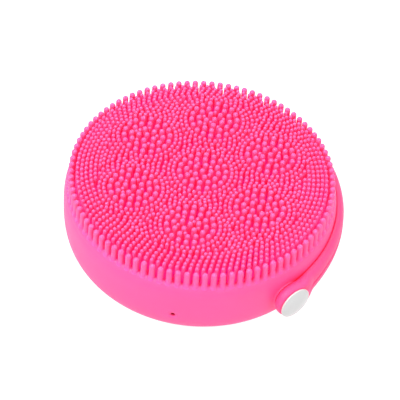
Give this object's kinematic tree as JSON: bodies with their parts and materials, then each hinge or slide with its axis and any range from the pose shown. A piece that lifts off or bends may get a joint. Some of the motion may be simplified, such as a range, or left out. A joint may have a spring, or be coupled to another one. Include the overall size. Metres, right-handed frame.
{
  "type": "facial cleansing brush",
  "caption": "Round hand-held silicone facial cleansing brush with a field of soft bristles in clusters, a swinging hand strap on two capped pivots, a push button and a vibration motor inside.",
  "frame": {"origin": "centre of the flat back face, on which the brush lies", "axes": "+Z from the back to the bristles; -Y is the front, with the charging port (7.2 degrees towards -X); the strap's pivot axis is horizontal at 41.7 degrees from the front towards +X"},
  "size_m": [0.103, 0.103, 0.036],
  "materials": {
    "body_silicone": "satin",
    "strap_silicone": "satin",
    "white_cap": "gloss",
    "natural_plastic": "matt",
    "case_plastic": "matt",
    "seal_rubber": "matt",
    "steel": "satin",
    "can_steel": "satin",
    "brass": "satin",
    "bronze": "satin",
    "clear_plastic": "gloss",
    "board_green": "satin",
    "black_plastic": "matt",
    "led_resin": "gloss",
    "cell_foil": "satin",
    "red_wire": "satin",
    "black_wire": "satin",
    "blue_wire": "satin",
    "magnet": "matt",
    "copper_winding": "satin"
  },
  "bodies": {
    "body": {"silicone_sleeve": "body_silicone", "rim_bristles": "body_silicone", "fine_bristles": "body_silicone", "cluster_bristles": "body_silicone", "pivot_washers": "natural_plastic", "pivot_screws": "steel", "pivot_inserts": "brass", "pivot_caps": "white_cap", "upper_case": "case_plastic", "lower_case": "case_plastic", "case_gasket": "seal_rubber", "case_screws": "steel", "light_guide": "clear_plastic", "circuit_board": "board_green", "board_screws": "steel", "tactile_switch": "black_plastic", "status_light": "led_resin", "control_chip": "black_plastic", "battery_socket": "natural_plastic", "battery": "cell_foil", "battery_pad": "seal_rubber", "battery_clamp": "case_plastic", "clamp_screws": "steel", "battery_wires": "red_wire", "charging_socket": "black_plastic", "socket_barrel": "steel", "socket_contact": "brass", "socket_seal": "seal_rubber", "socket_wires": "black_wire", "motor_bracket": "case_plastic", "motor_strap": "steel", "motor_strap_screws": "steel", "motor_can": "can_steel", "motor_end_bell": "natural_plastic", "motor_magnets": "magnet", "motor_bushes": "bronze", "motor_wires": "blue_wire"},
    "strap": {"hand_strap": "strap_silicone", "strap_bushes": "natural_plastic"},
    "button": {"power_button": "strap_silicone", "button_plunger": "natural_plastic"},
    "rotor": {"motor_shaft": "steel", "motor_rotor": "copper_winding", "motor_commutator": "bronze", "eccentric_weight": "can_steel"}
  },
  "joints": [
    {"name": "strap_swing", "type": "hinge", "parent": "body", "child": "strap", "pos_m": [0, 0, 0.0148], "axis": [0.6652, -0.7466, 0], "range_deg": [-180, 0]},
    {"name": "button_press", "type": "slide", "parent": "body", "child": "button", "axis": [0, 0, 1], "range_m": [0, 0.0006], "stiffness_N_per_m": 900, "springref_m": -0.0003},
    {"name": "motor_spin", "type": "hinge", "parent": "body", "child": "rotor", "pos_m": [0, 0.004, 0.015], "axis": [1, 0, 0], "continuous": true}
  ]
}
